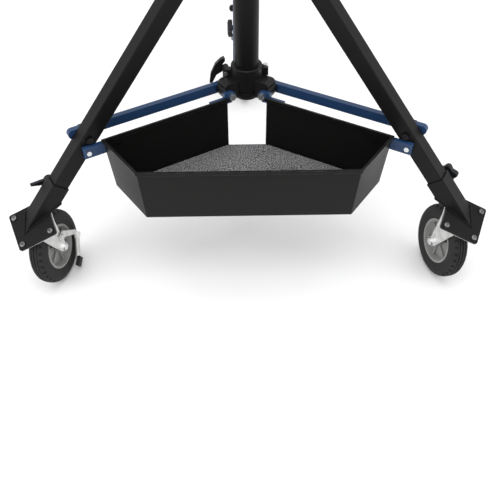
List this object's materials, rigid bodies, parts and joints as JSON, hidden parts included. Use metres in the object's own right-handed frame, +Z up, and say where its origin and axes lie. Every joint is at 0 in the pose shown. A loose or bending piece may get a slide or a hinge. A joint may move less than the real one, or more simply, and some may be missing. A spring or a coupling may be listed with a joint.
{
  "type": "wheeled light stand with sandbag tray",
  "caption": "Wheeled steel studio stand with a folded tray for sandbags hung between its spreader arms, on swivel casters, with a sliding top tube.",
  "frame": {"origin": "on the floor, on the mast's axis", "axes": "+Z up along the mast; -Y towards the open side with the tray; the rear leg points along +Y; +X to the right of a viewer who faces the tray"},
  "size_m": [1.2254, 1.092, 1.1338],
  "materials": {
    "black_tube": "satin powder coat",
    "black_casting": "satin powder coat on a casting",
    "blue_bar": "gloss paint",
    "bright_riser": "plated",
    "bolt_steel": "zinc plated",
    "zinc_caster": "zinc plated pressing",
    "black_plastic": "moulded",
    "tray_black": "satin powder coat on folded sheet",
    "speckled_lining": "speckled rubber crumb",
    "tyre_rubber": "moulded rubber",
    "grey_hub": "moulded",
    "white_tab": "moulded"
  },
  "bodies": {
    "stand": {"mast_tube": "black_tube", "mast_clamp": "black_casting", "crown": "black_casting", "crown_pins": "bolt_steel", "collar": "black_casting", "clamp_screw": "bolt_steel", "clamp_pin": "bolt_steel", "arm_left": "blue_bar", "arm_right": "blue_bar", "rear_arm_left": "blue_bar", "rear_arm_right": "blue_bar", "lug_bolts": "bolt_steel", "leg_bolts": "bolt_steel", "leg_left": "black_tube", "leg_right": "black_tube", "leg_rear": "black_tube", "tray": "tray_black", "tray_mat": "speckled_lining", "tray_bracket_inner_left": "blue_bar", "tray_bracket_inner_right": "blue_bar", "tray_bracket_outer_left": "blue_bar", "tray_bracket_outer_right": "blue_bar", "bracket_bolts": "bolt_steel", "tray_screws": "bolt_steel"},
    "riser": {"riser_tube": "bright_riser", "receiver": "black_casting"},
    "riser_lock": {"riser_knob": "black_plastic"},
    "receiver_lock": {"receiver_knob": "black_plastic"},
    "collar_lever": {"clamp_lever": "black_casting"},
    "left_foot": {"foot_left": "black_tube", "plate_bolts_left": "bolt_steel", "caster_top_left": "zinc_caster"},
    "left_lock": {"foot_lever_left": "black_plastic"},
    "left_fork": {"fork_left": "zinc_caster", "axle_left": "bolt_steel", "brake_pin": "bolt_steel"},
    "left_wheel": {"tyre_left": "tyre_rubber", "rim_left": "grey_hub"},
    "right_foot": {"foot_right": "black_tube", "plate_bolts_right": "bolt_steel", "caster_top_right": "zinc_caster"},
    "right_lock": {"foot_knob_right": "black_plastic"},
    "right_fork": {"fork_right": "zinc_caster", "axle_right": "bolt_steel"},
    "right_wheel": {"tyre_right": "tyre_rubber", "rim_right": "grey_hub"},
    "rear_foot": {"foot_rear": "black_tube", "plate_bolts_rear": "bolt_steel", "caster_top_rear": "zinc_caster"},
    "rear_lock": {"foot_knob_rear": "black_plastic"},
    "rear_fork": {"fork_rear": "zinc_caster", "axle_rear": "bolt_steel"},
    "rear_wheel": {"tyre_rear": "tyre_rubber", "rim_rear": "grey_hub"},
    "left_brake": {"brake_lever": "zinc_caster", "brake_tab": "white_tab", "brake_pedal": "black_plastic"}
  },
  "joints": [
    {"name": "riser_slide", "type": "slide", "parent": "stand", "child": "riser", "axis": [0, 0, 1], "range_m": [0, 0.4]},
    {"name": "riser_lock_turn", "type": "hinge", "parent": "stand", "child": "riser_lock", "pos_m": [0.05975, 0, 0.97981], "axis": [1, 0, 0], "range_deg": [0, 360]},
    {"name": "receiver_lock_turn", "type": "hinge", "parent": "riser", "child": "receiver_lock", "pos_m": [0.048, 0, 1.09981], "axis": [1, 0, 0], "range_deg": [0, 360]},
    {"name": "collar_lever_swing", "type": "hinge", "parent": "stand", "child": "collar_lever", "pos_m": [-0.056, 0.019, 0.444], "axis": [0, 1, 0], "range_deg": [0, 28]},
    {"name": "left_foot_slide", "type": "slide", "parent": "stand", "child": "left_foot", "axis": [-0.5795, -0.3346, -0.7431], "range_m": [0, 0.04]},
    {"name": "left_lock_turn", "type": "hinge", "parent": "left_foot", "child": "left_lock", "pos_m": [-0.50654, -0.24655, 0.285], "axis": [-0.5, 0.866, 0], "range_deg": [-180, 180]},
    {"name": "left_swivel", "type": "hinge", "parent": "left_foot", "child": "left_fork", "pos_m": [-0.54765, -0.33582, 0.21588], "axis": [-0.2034, -0.4568, 0.866], "continuous": true},
    {"name": "left_wheel_spin", "type": "hinge", "parent": "left_fork", "child": "left_wheel", "pos_m": [-0.52573, -0.2968, 0.09957], "axis": [0.9668, -0.2334, 0.104], "continuous": true},
    {"name": "right_foot_slide", "type": "slide", "parent": "stand", "child": "right_foot", "axis": [0.5795, -0.3346, -0.7431], "range_m": [0, 0.04]},
    {"name": "right_lock_turn", "type": "hinge", "parent": "right_foot", "child": "right_lock", "pos_m": [0.50654, -0.24655, 0.285], "axis": [0.5, 0.866, 0], "range_deg": [-180, 180]},
    {"name": "right_swivel", "type": "hinge", "parent": "right_foot", "child": "right_fork", "pos_m": [0.54765, -0.33582, 0.21588], "axis": [0.2034, -0.4568, 0.866], "continuous": true},
    {"name": "right_wheel_spin", "type": "hinge", "parent": "right_fork", "child": "right_wheel", "pos_m": [0.52573, -0.2968, 0.09957], "axis": [0.9668, 0.2334, -0.104], "continuous": true},
    {"name": "rear_foot_slide", "type": "slide", "parent": "stand", "child": "rear_foot", "axis": [0, 0.6691, -0.7431], "range_m": [0, 0.04]},
    {"name": "rear_lock_turn", "type": "hinge", "parent": "rear_foot", "child": "rear_lock", "pos_m": [-0.03975, 0.56195, 0.285], "axis": [-1, 0, 0], "range_deg": [-180, 180]},
    {"name": "rear_swivel", "type": "hinge", "parent": "rear_foot", "child": "rear_fork", "pos_m": [0, 0.64161, 0.21652], "axis": [0, 0.5, 0.866], "continuous": true},
    {"name": "rear_wheel_spin", "type": "hinge", "parent": "rear_fork", "child": "rear_wheel", "pos_m": [0, 0.59743, 0.1], "axis": [-1, 0, 0], "continuous": true},
    {"name": "left_brake_turn", "type": "hinge", "parent": "left_fork", "child": "left_brake", "pos_m": [-0.49778, -0.2998, 0.13689], "axis": [0.9668, -0.2334, 0.104], "range_deg": [0, 14]}
  ]
}
